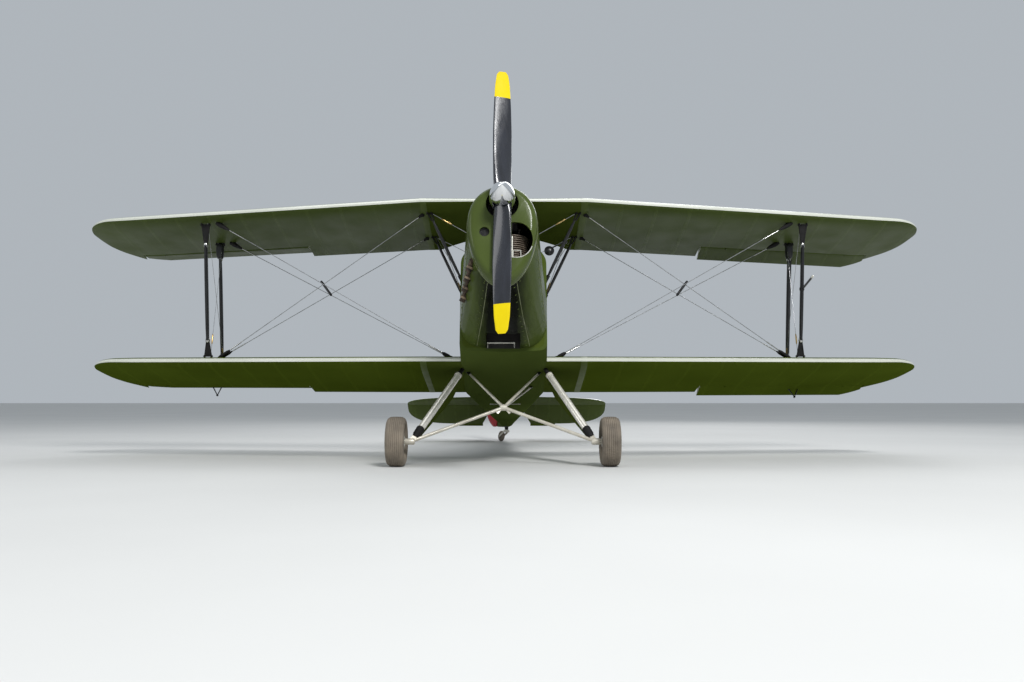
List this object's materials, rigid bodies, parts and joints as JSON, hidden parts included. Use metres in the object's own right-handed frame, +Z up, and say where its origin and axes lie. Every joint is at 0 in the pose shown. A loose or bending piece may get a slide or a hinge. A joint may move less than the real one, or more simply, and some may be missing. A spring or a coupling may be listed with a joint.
{
  "type": "biplane",
  "caption": "Small two-seat open-cockpit training biplane with swept wings, an in-line engine and a fixed tail-wheel undercarriage, parked tail-down.",
  "frame": {"origin": "bottom centre of the box, on the ground plane that the wheels stand on", "axes": "+X along the wing span to the aircraft's left, +Y aft, +Z up; the airframe stands 13.5 degrees nose-up"},
  "size_m": [7.34, 6.4462, 2.8384],
  "materials": {
    "fabric_skin": "gloss",
    "painted_panel": "gloss",
    "painted_deck": "gloss",
    "black_strut": "satin",
    "wing_wire": "satin",
    "leg_metal": "satin",
    "cream_tube": "satin",
    "rim_metal": "satin",
    "tyre": "matte",
    "propeller_paint": "gloss",
    "spinner_metal": "polished",
    "exhaust_metal": "matte",
    "engine_metal": "matte",
    "seat_leather": "satin",
    "panel_black": "matte",
    "screen_glass": "polished"
  },
  "bodies": {
    "airframe": {"nose_bowl": "painted_panel", "engine_cowl": "painted_panel", "engine_block": "engine_metal", "exhaust_stubs": "exhaust_metal", "fuselage_floor": "painted_deck", "fuselage_side_left": "painted_deck", "fuselage_side_right": "painted_deck", "cockpit_deck": "painted_deck", "panel_front": "panel_black", "panel_rear": "panel_black", "seat_front": "seat_leather", "seat_rear": "seat_leather", "windscreen_front": "screen_glass", "windscreen_rear": "screen_glass", "rear_fuselage": "fabric_skin", "turtledeck": "fabric_skin", "upper_centre_section": "fabric_skin", "upper_wing_left": "fabric_skin", "upper_wing_right": "fabric_skin", "lower_wing_left": "fabric_skin", "lower_wing_right": "fabric_skin", "lower_stub_left": "fabric_skin", "lower_stub_right": "fabric_skin", "strut_front_left": "black_strut", "strut_front_right": "black_strut", "strut_rear_left": "black_strut", "strut_rear_right": "black_strut", "cabane_front_left": "black_strut", "cabane_front_right": "black_strut", "cabane_rear_left": "black_strut", "cabane_rear_right": "black_strut", "flying_wires_left": "wing_wire", "flying_wires_right": "wing_wire", "landing_wires_left": "wing_wire", "landing_wires_right": "wing_wire", "gear_leg_left": "leg_metal", "gear_leg_right": "leg_metal", "half_axle_left": "cream_tube", "half_axle_right": "cream_tube", "gear_pyramid": "cream_tube", "stabiliser": "fabric_skin", "fin": "fabric_skin", "tail_post": "black_strut"},
    "propeller": {"propeller": "propeller_paint", "spinner": "spinner_metal"},
    "wheel_left": {"rim_left": "rim_metal", "tyre_left": "tyre"},
    "wheel_right": {"rim_right": "rim_metal", "tyre_right": "tyre"},
    "aileron_lower_left": {"aileron_lower_left": "fabric_skin"},
    "aileron_upper_left": {"aileron_upper_left": "fabric_skin"},
    "aileron_lower_right": {"aileron_lower_right": "fabric_skin"},
    "aileron_upper_right": {"aileron_upper_right": "fabric_skin"},
    "aileron_rod_left": {"aileron_rod_left": "wing_wire"},
    "aileron_rod_right": {"aileron_rod_right": "wing_wire"},
    "elevator": {"elevator": "fabric_skin"},
    "rudder": {"rudder": "fabric_skin"},
    "tail_fork": {"tail_fork": "cream_tube"},
    "tail_wheel": {"tail_wheel": "tyre"}
  },
  "joints": [
    {"name": "propeller_spin", "type": "hinge", "parent": "airframe", "child": "propeller", "pos_m": [0, -2.98947, 1.88891], "axis": [0, -0.9724, 0.2334], "continuous": true},
    {"name": "wheel_left_spin", "type": "hinge", "parent": "airframe", "child": "wheel_left", "pos_m": [0.817, -2.07081, 0.18949], "axis": [1, 0, 0], "continuous": true},
    {"name": "wheel_right_spin", "type": "hinge", "parent": "airframe", "child": "wheel_right", "pos_m": [-0.817, -2.07081, 0.18949], "axis": [1, 0, 0], "continuous": true},
    {"name": "aileron_lower_left", "type": "hinge", "parent": "airframe", "child": "aileron_lower_left", "pos_m": [1.77, -0.62008, 0.65142], "axis": [0.9804, 0.1971, 0.0046], "range_deg": [-10, 30]},
    {"name": "aileron_upper_left", "type": "hinge", "parent": "airframe", "child": "aileron_upper_left", "pos_m": [1.77, -0.72898, 1.91127], "axis": [0.9814, 0.1905, -0.0237], "range_deg": [-10, 30]},
    {"name": "aileron_lower_right", "type": "hinge", "parent": "airframe", "child": "aileron_lower_right", "pos_m": [-1.77, -0.62008, 0.65142], "axis": [0.9804, -0.1971, -0.0046], "range_deg": [-30, 10]},
    {"name": "aileron_upper_right", "type": "hinge", "parent": "airframe", "child": "aileron_upper_right", "pos_m": [-1.77, -0.72898, 1.91127], "axis": [0.9814, -0.1905, 0.0237], "range_deg": [-30, 10]},
    {"name": "rod_left_pivot", "type": "hinge", "parent": "aileron_lower_left", "child": "aileron_rod_left", "pos_m": [2.65551, -0.34094, 0.64577], "axis": [0.9804, 0.1971, 0.0046], "range_deg": [-33, 11]},
    {"name": "rod_right_pivot", "type": "hinge", "parent": "aileron_lower_right", "child": "aileron_rod_right", "pos_m": [-2.65586, -0.34351, 0.68027], "axis": [0.9804, -0.1971, -0.0046], "range_deg": [-11, 33]},
    {"name": "elevator_hinge", "type": "hinge", "parent": "airframe", "child": "elevator", "pos_m": [0, 2.57022, 0.4585], "axis": [1, 0, 0], "range_deg": [0, 48]},
    {"name": "rudder_hinge", "type": "hinge", "parent": "airframe", "child": "rudder", "pos_m": [0, 2.71337, 0.58354], "axis": [0, -0.2334, -0.9724], "range_deg": [0, 60]},
    {"name": "tail_fork_swivel", "type": "hinge", "parent": "airframe", "child": "tail_fork", "pos_m": [0, 2.47238, 0.15804], "axis": [0, -0.2334, -0.9724], "range_deg": [0, 60]},
    {"name": "tail_wheel_spin", "type": "hinge", "parent": "tail_fork", "child": "tail_wheel", "pos_m": [-0.0625, 2.56117, 0.06417], "axis": [0.866, 0.4862, -0.1167], "continuous": true}
  ],
  "couplings": [
    {"joint": "aileron_upper_left", "follows": "aileron_lower_left", "ratio": 1},
    {"joint": "aileron_lower_right", "follows": "aileron_lower_left", "ratio": -1},
    {"joint": "aileron_upper_right", "follows": "aileron_lower_left", "ratio": -1},
    {"joint": "rod_left_pivot", "follows": "aileron_lower_left", "ratio": -1.068},
    {"joint": "rod_right_pivot", "follows": "aileron_lower_left", "ratio": 1.068},
    {"joint": "tail_fork_swivel", "follows": "rudder_hinge", "ratio": 1}
  ]
}
